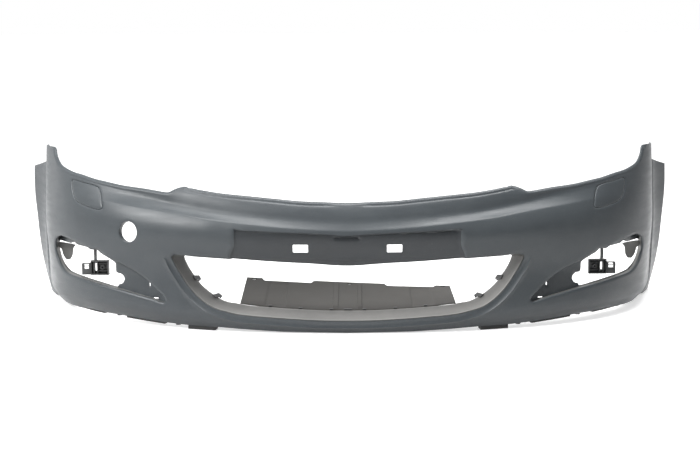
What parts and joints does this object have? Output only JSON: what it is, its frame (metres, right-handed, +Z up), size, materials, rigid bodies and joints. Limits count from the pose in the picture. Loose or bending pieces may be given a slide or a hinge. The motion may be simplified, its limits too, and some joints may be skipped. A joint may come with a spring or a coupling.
{
  "type": "bumper cover",
  "caption": "Primed front bumper cover with central intake, fog lamp recesses, wheel-arch flares, tow-eye hole and separate headlamp washer covers.",
  "frame": {"origin": "centre of the bounding box at the resting plane, between the two support pads' level", "axes": "+Z up, the nose faces -Y, +X to the vehicle's left"},
  "size_m": [1.7528, 0.6083, 0.4212],
  "materials": {
    "primer": "dull two-pack primer, blue-grey",
    "deflector": "unpainted moulded grey-brown plastic",
    "black_clip": "black moulded nylon",
    "black_plastic": "black moulded plastic",
    "black_rubber": "dull black rubber"
  },
  "bodies": {
    "cover": {"fascia": "primer", "lower_deflector": "deflector", "deflector_clips": "black_clip", "deflector_centre_clip": "black_clip", "grille_clips_right": "black_clip", "grille_clips_left": "black_clip", "lower_edge_pins": "black_clip", "fog_bracket_right": "black_plastic", "fog_bracket_left": "black_plastic", "lip_outer_right": "black_rubber", "lip_outer_left": "black_rubber", "lip_inner_right": "black_rubber", "lip_inner_left": "black_rubber", "support_pad_right": "black_rubber", "support_pad_left": "black_rubber"},
    "washer_flap_right": {"washer_cover_right": "primer"},
    "washer_flap_left": {"washer_cover_left": "primer"}
  },
  "joints": [
    {"name": "washer_flap_right_slide", "type": "slide", "parent": "cover", "child": "washer_flap_right", "axis": [-0.5027, -0.7944, 0.3409], "range_m": [0, 0.06]},
    {"name": "washer_flap_left_slide", "type": "slide", "parent": "cover", "child": "washer_flap_left", "axis": [0.5027, -0.7944, 0.3409], "range_m": [0, 0.06]}
  ]
}
